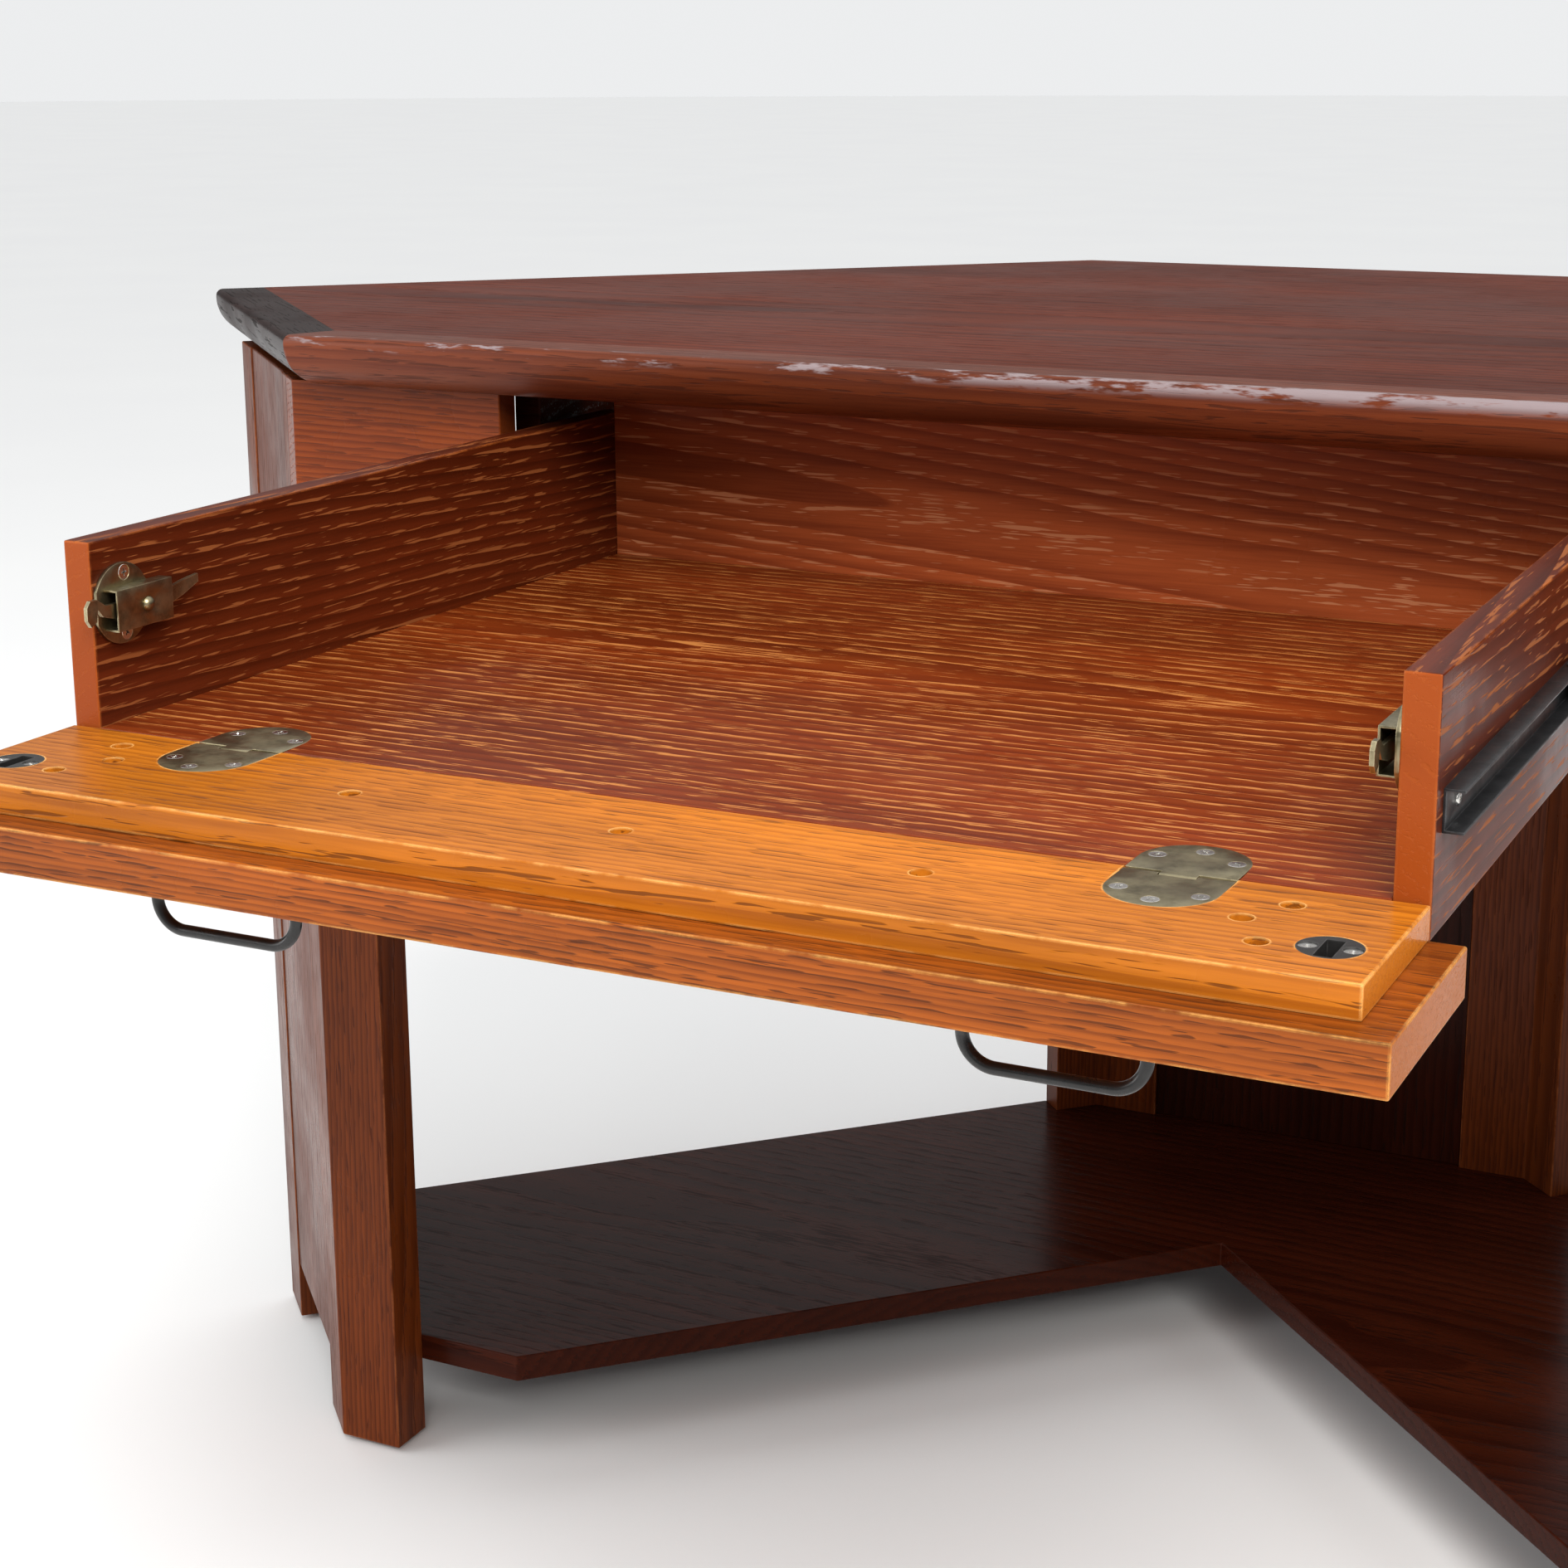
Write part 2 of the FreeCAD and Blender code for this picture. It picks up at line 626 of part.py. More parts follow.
node("hinge_pins", group(pins))
node("drawer_bottom", drawer_bottom)
node("drawer_back", box("-inner_half", "hinge_y + inner_deep", "floor_z - floor_thick",
                        "inner_wide", "side_thick", "side_high + back_over + floor_thick"))

# ---------------------------------------------------------------- flap catches
# Outline of the lever from its pivot, backwards and upwards: the hook's nose, the arm,
# the thumb tab, and back along the underside to the hook's mouth.
LEVER = [
    ("-41", "5"), ("-38.5", "8"), ("-34", "8"), ("-28", "4"), ("17", "4"), ("27", "6"),
    ("40", "7.5"), ("40", "3.5"), ("28", "-1"), ("17", "-4"), ("-20", "-4"), ("-30", "-1"),
    ("-33.5", "3"), ("-34.5", "-2.5"), ("-38.5", "-4.5"), ("-41", "-1"),
]
rivets = []
for side, sign in SIDES:
    face_x = f"{sign} * plate_x"
    axle = rod(f"{sign} * (case_x - over)", "pivot_y", "pivot_z", "rivet_r + fit",
               "case_out + catch_t + over + fit", OUTWARD[sign])
    round_plate = rod(face_x, "hinge_y + plate_y", "plate_z", "plate_r", "catch_t", OUTWARD[sign])
    flats = side_box(sign, "plate_x", "hinge_y + plate_y - plate_wide / 2", "plate_z - plate_r",
                     "catch_t", "plate_wide", "2 * plate_r")
    plate = cut(common(round_plate, flats), axle)
    board = cut(drawer_sides[side], axle)
    for across in ("-1", "1"):
        place = (face_x, "hinge_y + plate_y + plate_screw_y", f"plate_z + {across} * plate_screw_z")
        screws["catch_screws"].append(screw(*place, OUTWARD[sign]))
        room = screw(*place, OUTWARD[sign], room="fit")
        plate, board = cut(plate, room), cut(board, room)
    node(f"catch_plate_{side}", plate)
    node(f"drawer_side_{side}", board)

    low = "pivot_z - case_high / 2"
    case = side_box(sign, "case_x", "hinge_y + case_front", low, "case_out", "case_long", "case_high")
    hollow = side_box(sign, "case_x + case_wall", "hinge_y + case_front - over", f"{low} + case_wall",
                      "case_out", "case_long + 2 * over", "case_high - 2 * case_wall")
    node(f"catch_case_{side}", cut(case, hollow, axle))

    ball = doc.addObject("Part::Sphere", "dome")
    bind(ball, Radius="dome_r")
    put(ball, f"{sign} * (case_x + dome_sunk)", "pivot_y", "pivot_z")
    proud = side_box(sign, "case_x - dome_r", "pivot_y - dome_r", "pivot_z - dome_r",
                     "dome_r", "2 * dome_r", "2 * dome_r")
    shaft = rod(f"{sign} * case_x", "pivot_y", "pivot_z", "rivet_r", "case_out + catch_t", OUTWARD[sign])
    rivets.append(fuse(common(ball, proud), shaft))

    lever = doc.addObject("PartDesign::Body", "lever")
    pad(lever, outline(lever, LEVER, "YZ_Plane"), "catch_t")
    lever_x = "plate_x - lever_set" if sign > 0 else "-(plate_x - lever_set) - catch_t"
    put(lever, lever_x, "pivot_y", "pivot_z")
    node(f"catch_lever_{side}", cut(lever, axle))
node("catch_rivets", group(rivets))

# ---------------------------------------------------------------- folding front
columns = []
for sign in (-1, 1):
    columns += [
        (f"{sign} * (inner_half - access_end)", "access_near"),
        (f"{sign} * (inner_half - access_in)", "access_mid"),
        (f"{sign} * (inner_half - access_end)", "access_far"),
        (f"{sign} * access_middle", "access_mid"),
    ]
for x, along in columns + [("0", "access_mid")]:
    y = f"hinge_y - {along}"
    seat = "board_z + front_web"
    shank = "front_web + front_grip"
    hole = rod(x, y, seat, "shank_r + fit", f"{shank} + fit", "-Z")
    inner_board = cut(inner_board, rod(x, y, seat, "access_r", "inner_t"), hole)
    outer_board = cut(outer_board, hole)
    screws["front_screws"].append(
        fuse(rod(x, y, seat, "head_r", "front_head_t"), rod(x, y, seat, "shank_r", shank, "-Z")))

for side, sign in SIDES:
    x = f"{sign} * strike_x"
    cup = rod(x, "strike_y", "floor_z", "strike_r", "strike_deep", "-Z")
    slot = box(f"{x} - slot_half", "strike_y - slot_out", "floor_z - strike_deep + slot_floor",
               "2 * slot_half", "slot_in + slot_out", "strike_deep")
    strike = cut(cup, slot)
    inner_board = cut(inner_board, rod(x, "strike_y", "floor_z", "strike_r + fit", "strike_deep + fit", "-Z"))
    for across in ("-1", "1"):
        place = (f"{x} + {across} * strike_screw", "strike_y", "floor_z - strike_sunk")
        screws["strike_screws"].append(screw(*place, "-Z", grip="strike_grip"))
        hole = screw(*place, "-Z", grip="strike_grip", room="fit")
        mouth = rod(*place, "head_r + fit", "strike_sunk")
        strike = cut(strike, hole, mouth)
        inner_board = cut(inner_board, hole)
        outer_board = cut(outer_board, hole)
    node(f"strike_{side}", strike)


# ---------------------------------------------------------------- wire pulls
def wire_pull(x):
    """A bent wire handle under the board: two legs, two bends and a grip."""
    grip_z = "front_low - pull_out"
    pieces = [rod(f"{x} - pull_half + wire_bend", "pull_y", grip_z,
                  "wire_r", "2 * (pull_half - wire_bend)", "+X")]
    for across in (-1, 1):
        leg_z = f"{grip_z} + wire_bend"
        pieces.append(rod(f"{x} + {across} * pull_half", "pull_y", leg_z, "wire_r", "pull_out - wire_bend"))
        bend = doc.addObject("Part::Torus", "bend")
        bind(bend, Radius1="wire_bend", Radius2="wire_r")
        bend.Angle3 = 90
        # a quarter ring stood upright, below its centre and on the outer side
        turn = TURNS["-Y"] * FreeCAD.Rotation(Vec(0, 0, 1), 180 if across < 0 else 270)
        pieces.append(put(bend, f"{x} + {across} * (pull_half - wire_bend)", "pull_y", leg_z, turn))
    return fuse(*pieces)


for side, sign in SIDES:
    x = f"{sign} * pull_x"
    node(f"pull_{side}", wire_pull(x))
    for across in ("-1", "1"):
        px = f"{x} + {across} * pull_half"
        screws["pull_screws"].append(fuse(
            rod(px, "pull_y", "board_z", "head_r", "pull_head_t", "-Z"),
            rod(px, "pull_y", "board_z", "shank_r", "front_t", "-Z")))
        outer_board = cut(outer_board, rod(px, "pull_y", "board_z", "head_r + fit", "pull_head_t", "-Z"),
                          rod(px, "pull_y", "board_z", "shank_r + fit", "front_t + over", "-Z"))
node("flap_inner_panel", inner_board)
node("flap_front_panel", outer_board)
for name, pieces in screws.items():
    node(name, group(pieces))

# ---------------------------------------------------------------- build and save
doc.removeObject(gauge.Name)
doc.recompute()
for obj in doc.Objects:
    if "Invalid" in obj.State or "Error" in obj.State:
        raise RuntimeError(f"{obj.Name} ({obj.Label}) did not rebuild: {obj.State}")
for name, obj in NODES.items():
    if obj.Shape.isNull() or not obj.Shape.isValid():
        raise RuntimeError(f"{name} has no valid shape")
os.makedirs("parts", exist_ok=True)
bounds = FreeCAD.BoundBox()
for name, obj in NODES.items():
    obj.Shape.exportStep(f"parts/{name}.step")
    bounds.add(obj.Shape.BoundBox)
print(len(NODES), "sub-parts in a box from", bounds.XMin, bounds.YMin, bounds.ZMin,
      "to", bounds.XMax, bounds.YMax, bounds.ZMax)
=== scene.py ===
# %% [markdown]
# # A corner desk with a pull-out keyboard drawer
# The desk's sizes and joints come from a finished CAD model, so nothing here is measured or
# moved again.  We load that model as a fixed frame, give every board its grain and finish,
# and rebuild in mesh code the fittings that need more detail than a CAD solid has.

# %% Load the frame
import bmesh
import bpy
import json
import math
from mathutils import Euler, Matrix, Vector


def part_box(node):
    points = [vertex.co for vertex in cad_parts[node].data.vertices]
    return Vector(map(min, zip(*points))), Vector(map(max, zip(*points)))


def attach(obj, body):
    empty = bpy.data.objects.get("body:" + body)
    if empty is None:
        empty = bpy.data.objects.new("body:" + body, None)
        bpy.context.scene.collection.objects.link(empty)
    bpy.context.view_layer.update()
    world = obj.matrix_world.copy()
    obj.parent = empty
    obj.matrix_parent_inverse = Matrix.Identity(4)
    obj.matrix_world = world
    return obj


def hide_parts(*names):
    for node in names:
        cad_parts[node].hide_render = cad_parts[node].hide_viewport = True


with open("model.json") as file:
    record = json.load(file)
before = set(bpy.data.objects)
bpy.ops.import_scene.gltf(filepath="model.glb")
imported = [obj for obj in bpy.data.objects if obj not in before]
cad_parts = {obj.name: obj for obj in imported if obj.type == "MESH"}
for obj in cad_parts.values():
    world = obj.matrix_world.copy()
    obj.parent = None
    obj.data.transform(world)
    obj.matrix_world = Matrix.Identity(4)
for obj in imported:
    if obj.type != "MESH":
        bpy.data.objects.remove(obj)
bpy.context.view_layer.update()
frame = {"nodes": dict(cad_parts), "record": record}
nodes = frame["nodes"]
record = frame["record"]
body_of = {n: b for b, names in record["behaviour"]["bodies"].items() for n in names}
slot_of = {s["node"]: s["material_slot"] for s in record["subparts"]}

# %% [markdown]
# ## A short way to wire shader nodes
# Materials are easier to read when each node is one line.  `Wiring` wraps a node tree: `add`
# makes a node and fills its sockets, either with a value or with a link from another node.

# %% Wiring helper
MM = 0.001
SIDES = ("left", "right")


class Wiring:
    """One node tree, with a short way to add a node and link it."""

    def __init__(self, tree):
        self.tree = tree

    def add(self, kind, settings=None, **sockets):
        """A new node.  Its sockets go by name, with _ for a space, or by place: i0, i1, i2."""
        made = self.tree.nodes.new(kind)
        for key, setting in (settings or {}).items():
            setattr(made, key, setting)
        for key, given in sockets.items():
            by_place = key[0] == "i" and key[1:].isdigit()
            self.feed(made.inputs[int(key[1:]) if by_place else key.replace("_", " ")], given)
        return made

    def feed(self, socket, given):
        """Links a socket to another node's output, or sets its value."""
        if isinstance(given, bpy.types.NodeSocket):
            self.tree.links.new(given, socket)
        elif isinstance(given, bpy.types.Node):
            self.tree.links.new(given.outputs[0], socket)
        else:
            socket.default_value = given

    def math(self, operation, one, two=0.0, clamp=False):
        settings = {"operation": operation, "use_clamp": clamp}
        return self.add("ShaderNodeMath", settings, i0=one, i1=two)

    def mad(self, one, two, three):
        """one times two, plus three."""
        return self.add("ShaderNodeMath", {"operation": "MULTIPLY_ADD"}, i0=one, i1=two, i2=three)

    def vector(self, operation, one, two):
        return self.add("ShaderNodeVectorMath", {"operation": operation}, i0=one, i1=two)

    def blend(self, factor, one, two, mode="MIX"):
        """Mix two colours."""
        made = self.add("ShaderNodeMix", {"data_type": "RGBA", "blend_type": mode})
        for index, given in ((0, factor), (6, one), (7, two)):
            self.feed(made.inputs[index], given)
        return made.outputs[2]

    def ramp(self, given, low, high, to_low=0.0, to_high=1.0):
        """Stretch the span from low to high smoothly over the span from to_low to to_high."""
        made = self.add("ShaderNodeMapRange", {"interpolation_type": "SMOOTHSTEP"}, Value=given)
        for index, number in ((1, low), (2, high), (3, to_low), (4, to_high)):
            self.feed(made.inputs[index], number)
        return made.outputs[0]

    def noise(self, vector, scale, detail, rough=0.5):
        made = self.add("ShaderNodeTexNoise", Vector=vector, Scale=scale, Detail=detail, Roughness=rough)
        return made.outputs[0]

    def stretched(self, vector, scale, detail=2.0, rough=0.5, shift=(0, 0, 0)):
        """Noise whose grain is stretched: scale is how many features a metre has each way."""
        place = self.add("ShaderNodeMapping", Vector=vector, Scale=scale, Location=shift)
        return self.noise(place, 1.0, detail, rough)


def shader_group(name, inputs, outputs):
    """An empty node group with named sockets: its wiring, its inputs and its output node."""
    tree = bpy.data.node_groups.new(name, "ShaderNodeTree")
    for label, kind, start in inputs:
        socket = tree.interface.new_socket(label, in_out="INPUT", socket_type=kind)
        if start is not None:
            socket.default_value = start
    for label, kind in outputs:
        tree.interface.new_socket(label, in_out="OUTPUT", socket_type=kind)
    entry, leave = tree.nodes.new("NodeGroupInput"), tree.nodes.new("NodeGroupOutput")
    return Wiring(tree), entry.outputs, leave


print("wiring helper ready")

# %% [markdown]
# ## Oak, cut out of a tree
# The boards are oak: wide growth rings, and rows of open pores where each ring began.  A wood
# texture painted on the surface would break at every corner.  So the group below describes the
# tree itself: rings are the distance from its heart, bent a little by slow noise, and a board
# shows whatever part of the tree its faces cut through.  Arches on flat faces and rings on end
# grain then come by themselves.

# %% The timber group
FLOAT, VECTOR = "NodeSocketFloat", "NodeSocketVector"
SWAYS, CLOUDS = (1.6, 7.0, 7.0), (2.2, 9.0, 9.0)              # features in a metre: along the
FIBRES, STREAKS = (22.0, 850.0, 850.0), (5.0, 130.0, 130.0)   # grain, and twice across it
FINE_PORES, COARSE_PORES = (46.0, 760.0, 760.0), (26.0, 430.0, 430.0)
w, given, leave = shader_group(
    "Oak from the tree",
    [("Vector", VECTOR, None), ("Heart", VECTOR, (0.0, 0.0, -0.05)), ("Tilt", FLOAT, 0.02),
     ("Ring width", FLOAT, 0.006), ("Warp", FLOAT, 0.012), ("Pore amount", FLOAT, 0.5)],
    [("Ring", FLOAT), ("Fibre", FLOAT), ("Pores", FLOAT), ("Height", FLOAT), ("Cloud", FLOAT)])
grain = given["Vector"]
place = w.add("ShaderNodeMapping", Vector=grain, Scale=SWAYS)
sway = w.add("ShaderNodeTexNoise", Vector=place, Scale=1.0, Detail=3.0, Roughness=0.45)
push = w.vector("SUBTRACT", sway.outputs[1], (0.5, 0.5, 0.5))
push = w.add("ShaderNodeVectorMath", {"operation": "SCALE"}, i0=push,
             Scale=w.math("MULTIPLY", given["Warp"], 4.0))
bent = w.vector("SUBTRACT", w.vector("ADD", grain, push), given["Heart"])
along, across, deep = w.add("ShaderNodeSeparateXYZ", Vector=bent).outputs
depth = w.mad(along, given["Tilt"], deep)
squares = w.math("ADD", w.math("MULTIPLY", across, across), w.math("MULTIPLY", depth, depth))
phase = w.math("FRACT", w.math("DIVIDE", w.math("SQRT", squares), given["Ring width"]))
print("rings from the distance to the heart")

# %% [markdown]
# One ring starts with porous early wood and ends with dense, darker late wood.  Pores are the
# peaks of fine stretched noise: the lower the threshold, the more there are, and the early wood
# lowers it.

# %% Late wood, fibres and pores
early = w.ramp(phase, 0.55, 0.02)
ring = w.math("MULTIPLY", w.ramp(phase, 0.25, 0.97), w.ramp(phase, 1.0, 0.965))
fibre = w.stretched(grain, FIBRES, 3.0, 0.6)
streak = w.stretched(grain, STREAKS, 3.0, 0.6, (3.1, 1.7, 0.4))
fine = w.stretched(grain, FINE_PORES, 1.0, 0.5, (0.7, 5.2, 2.9))
coarse = w.stretched(grain, COARSE_PORES, 1.0, 0.4, (8.3, 0.4, 6.1))
often = w.mad(given["Pore amount"], 0.13, w.math("MULTIPLY", early, 0.14))
threshold = w.math("SUBTRACT", 0.755, often)
pore_fine = w.ramp(w.math("SUBTRACT", fine, threshold), 0.0, 0.05)
pore_coarse = w.ramp(w.math("SUBTRACT", coarse, threshold), 0.01, 0.05)
pores = w.math("MAXIMUM", pore_fine, w.math("MULTIPLY", pore_coarse, w.ramp(early, 0.15, 0.7)))


def weighed(w, one, share, two):
    """share of one and the rest of two."""
    return w.math("ADD", w.math("MULTIPLY", one, share), w.math("MULTIPLY", two, 1 - share))


w.feed(leave.inputs["Ring"], weighed(w, ring, 0.75, streak))
w.feed(leave.inputs["Fibre"], weighed(w, fibre, 0.55, streak))
w.feed(leave.inputs["Pores"], pores)
w.feed(leave.inputs["Height"], w.math("SUBTRACT", w.math("MULTIPLY", fibre, 0.35), pores))
w.feed(leave.inputs["Cloud"], w.stretched(grain, CLOUDS, 3.0, 0.5, (1.9, 4.4, 3.3)))
oak_tree = w.tree
print("timber group with", len(oak_tree.nodes), "nodes")

# %% [markdown]
# ## Wear along edges
# Handling rubs stain and paint off wherever a piece has a corner.  The Bevel node looks at a
# rounded copy of the surface normal, and where that differs from the true normal there is an
# edge nearby.  Noise breaks the band up, so that it looks worn and not outlined.

# %% The edge wear group
w, given, leave = shader_group(
    "Edge wear",
    [("Vector", VECTOR, None), ("Width", FLOAT, 0.002), ("Amount", FLOAT, 0.6),
     ("Patches", FLOAT, 60.0)],
    [("Mask", FLOAT)])
rounded = w.add("ShaderNodeBevel", {"samples": 4}, Radius=given["Width"])
plain = w.add("ShaderNodeNewGeometry")
facing = w.vector("DOT_PRODUCT", rounded, plain.outputs["Normal"])
corner = w.ramp(facing.outputs["Value"], 0.995, 0.90)
patch = w.noise(given["Vector"], given["Patches"], 4.0, 0.65)
broken = w.ramp(w.math("ADD", patch, w.math("MULTIPLY", given["Amount"], 0.4)), 0.55, 0.80)
w.feed(leave.inputs["Mask"], w.math("MULTIPLY", corner, broken, clamp=True))
edge_wear = w.tree
print("edge wear group with", len(edge_wear.nodes), "nodes")

# %% [markdown]
# ## Smudges in a film of lacquer
# A perfectly even gloss looks like plastic.  This group gives a slow patchiness and a few short
# scratches, which the materials use to vary their roughness.

# %% The smudge group
w, given, leave = shader_group(
    "Smudges",
    [("Vector", VECTOR, None), ("Size", FLOAT, 9.0), ("Scratches", FLOAT, 0.3)],
    [("Film", FLOAT), ("Scratch", FLOAT)])
film = w.noise(given["Vector"], given["Size"], 5.0, 0.6)
slant = w.add("ShaderNodeMapping", Vector=given["Vector"], Rotation=(0.3, 0.2, 0.9),
              Scale=(14.0, 900.0, 300.0))
hair_mask = w.math("MULTIPLY", w.ramp(w.noise(slant, 1.0, 1.0), 0.70, 0.76), given["Scratches"])
w.feed(leave.inputs["Film"], w.ramp(film, 0.3, 0.7))
w.feed(leave.inputs["Scratch"], hair_mask)
smudges = w.tree
print("smudge group with", len(smudges.nodes), "nodes")

# %% [markdown]
# ## The wood finishes
# Every board is the same oak under a different depth of stain, and with its grain the long way
# of the board.  One function makes them all: it turns the tree, cuts the board out at its own
# place, and mixes the ring, fibre and pore masks into colour, gloss and relief.

# %% Directions of the grain, and new materials
ALONG_X, ALONG_Y, ALONG_Z = (0, 0, 0), (0, 0, -math.pi / 2), (0, math.pi / 2, 0)
LEFT_END, RIGHT_END = (0, 0, math.pi / 4), (0, 0, -math.pi / 4)


def placed(w, group, vector=None, **inputs):
    """A group node in a material, with its inputs set."""
    made = w.add("ShaderNodeGroup", {"node_tree": group})
    if vector is not None:
        w.feed(made.inputs["Vector"], vector)
    for key, given in inputs.items():
        w.feed(made.inputs[key.replace("_", " ")], given)
    return made.outputs


def new_material(name):
    material = bpy.data.materials.new(name)
    material.use_nodes = True
    w = Wiring(material.node_tree)
    surface = material.node_tree.nodes["Principled BSDF"]
    position = w.add("ShaderNodeTexCoord").outputs["Object"]
    return material, w, surface, position


print("grain runs along X, Y or Z, or along a slanted end of the top")

# %% [markdown]
# Two masks help with places that a board's figure alone doesn't explain.  Sawn ends, whose
# normals point along the grain, are sealed and stained evenly.  Along the front arris of the top
# lies a painted highlight in blotches, more of them towards the right: it stands for the sky
# mirrored in the lacquer.

# %% Masks for sawn ends and for a painted highlight along an arris
def end_grain(w, position, grain, share):
    lengthwise = Euler(grain).to_matrix().transposed() @ Vector((1, 0, 0))
    facing = w.vector("DOT_PRODUCT", position.node.outputs["Normal"], lengthwise).outputs["Value"]
    return w.ramp(w.math("ABSOLUTE", facing), 0.6, 0.9, 0.0, share)


# Painted highlight: blotches of pale grey-lilac along the front arris of the top, more of them towards
# the right, stand for the sky mirrored in its lacquer.
def painted_arris_highlight(w, position, front, top, reach):
    place = w.add("ShaderNodeSeparateXYZ", Vector=position).outputs
    arris = w.math("MULTIPLY", w.ramp(place[1], front + reach, front + 0.4 * reach),
                   w.ramp(place[2], top - reach, top - 0.3 * reach))
    blotch = w.stretched(position, (28.0, 120.0, 160.0), 4.0, 0.65, (2.2, 0.3, 5.0))
    more_to_the_right = w.ramp(place[0], -0.35, 0.35, -0.07, 0.12)
    return w.math("MULTIPLY", arris, w.ramp(w.math("ADD", blotch, more_to_the_right), 0.50, 0.60))


print("masks ready")

# %% [markdown]
# The finish itself: light and dark wood by ring and fibre, slow clouds of shade, pores, sawn
# ends, worn edges (a painted highlight on the front moulding), and then gloss and relief.

# %% A function for stained oak
def oak(name, light, dark, pore, grain=ALONG_X, cut_at=(0, 0, 0), heart=(0, 0, -0.05), tilt=0.02,
        ring_width=0.006, warp=0.012, pore_amount=0.5, pore_strength=0.7, gloss=(0.26, 0.42),
        wear_and_highlight=None, wear=0.5, relief=0.35, shine=0.12, end=None, end_share=0.7, arris_highlight=None):
    """Stained and lacquered oak.  light and dark are its early and late wood."""
    material, w, surface, position = new_material(name)
    board = w.add("ShaderNodeMapping", Vector=position, Location=cut_at, Rotation=grain)
    tree = placed(w, oak_tree, board.outputs[0], Heart=heart, Tilt=tilt, Ring_width=ring_width,
                  Warp=warp, Pore_amount=pore_amount)
    film = placed(w, smudges, position, Size=7.0, Scratches=0.25)
    edge = placed(w, edge_wear, position, Width=1.6 * MM, Amount=wear, Patches=45.0)
    tone = w.math("ADD", w.math("MULTIPLY", tree["Ring"], 0.34), w.math("MULTIPLY", tree["Fibre"], 0.75))
    colour = w.blend(w.ramp(tone, 0.15, 0.95), (*light, 1), (*dark, 1))
    shade = w.ramp(tree["Cloud"], 0.25, 0.75, 0.72, 1.22)
    grey = w.add("ShaderNodeCombineColor", Red=shade, Green=shade, Blue=shade).outputs[0]
    colour = w.blend(1.0, colour, grey, "MULTIPLY")
    colour = w.blend(w.math("MULTIPLY", tree["Pores"], pore_strength), colour, (*pore, 1))
    colour = w.blend(end_grain(w, position, grain, end_share), colour, (*(end or light), 1))
    # Edges take the wear colour; on the front moulding that colour is a painted highlight, and the arris
    # mask below lays the same painted highlight on in blotches.
    colour = w.blend(edge["Mask"], colour, (*(wear_and_highlight or light), 1))
    if arris_highlight is not None:
        colour = w.blend(painted_arris_highlight(w, position, *arris_highlight), colour, (*wear_and_highlight, 1))
    w.feed(surface.inputs["Base Color"], colour)
    rough = w.ramp(film["Film"], 0.0, 1.0, gloss[0], gloss[1])
    rough = w.math("ADD", rough, w.math("MULTIPLY", tree["Pores"], 0.18))
    w.feed(surface.inputs["Roughness"], w.math("ADD", rough, w.math("MULTIPLY", edge["Mask"], 0.1)))
    bump = w.add("ShaderNodeBump", Strength=relief, Distance=0.4 * MM, Height=tree["Height"])
    w.feed(surface.inputs["Normal"], bump)
    surface.inputs["Specular IOR Level"].default_value = shine
    return material


print("oak finish ready")

# %% [markdown]
# The stains run from almost black on the mouldings, the left end one darker still by a painted
# shade, through red-brown inside the drawer, to amber on the folded front, where years of light
# and hands have bleached it.

# %% The desk's wood finishes
drawer_top_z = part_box("drawer_bottom")[1].z
drawer_mid_y = (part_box("drawer_bottom")[0].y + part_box("drawer_bottom")[1].y) / 2
back_face_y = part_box("drawer_back")[0].y
STAND_PORE = (0.034, 0.006, 0.002)
top_oak = oak("top stain",
              (0.130, 0.022, 0.006), (0.050, 0.007, 0.002), (0.026, 0.004, 0.002),
              heart=(0, 0.15, 0.66), tilt=0.01, ring_width=0.010, warp=0.012, pore_amount=0.45,
              pore_strength=0.6, gloss=(0.30, 0.42), relief=0.2, shine=0.05)
drawer_floor_oak = oak("drawer floor stain",
                       (0.235, 0.040, 0.006), (0.090, 0.010, 0.002), (0.50, 0.185, 0.045),
                       heart=(-0.05, drawer_mid_y + 0.03, drawer_top_z - 0.030), tilt=0.045,
                       ring_width=0.010, warp=0.009, pore_amount=0.60, pore_strength=0.9,
                       gloss=(0.24, 0.36), shine=0.14)
drawer_back_oak = oak("drawer back stain",
                      (0.400, 0.085, 0.023), (0.165, 0.027, 0.008), (0.58, 0.240, 0.110),
                      heart=(0.5, back_face_y + 0.035, drawer_top_z - 0.02), tilt=0.10,
                      ring_width=0.006,
                      warp=0.005, pore_amount=0.42, pore_strength=0.6)
drawer_side_oak = oak("drawer side stain",
                      (0.110, 0.017, 0.004), (0.042, 0.006, 0.0015), (0.32, 0.100, 0.028),
                      grain=ALONG_Y, heart=(0, 0, drawer_top_z - 0.55), tilt=0.05, ring_width=0.0065,
                      warp=0.006, pore_amount=0.5, pore_strength=0.7, wear_and_highlight=(0.42, 0.11, 0.02),
                      end=(0.30, 0.058, 0.008), end_share=0.9)
flap_oak = oak("folded front inside",
               (0.60, 0.185, 0.012), (0.30, 0.075, 0.005), (0.105, 0.024, 0.003),
               cut_at=(0.2, 0, 0), heart=(0, -0.40, drawer_top_z - 0.10), tilt=0.015, ring_width=0.0045,
               warp=0.006, pore_amount=0.52, pore_strength=0.75, wear_and_highlight=(0.90, 0.50, 0.16),
               gloss=(0.22, 0.34),
               shine=0.16)
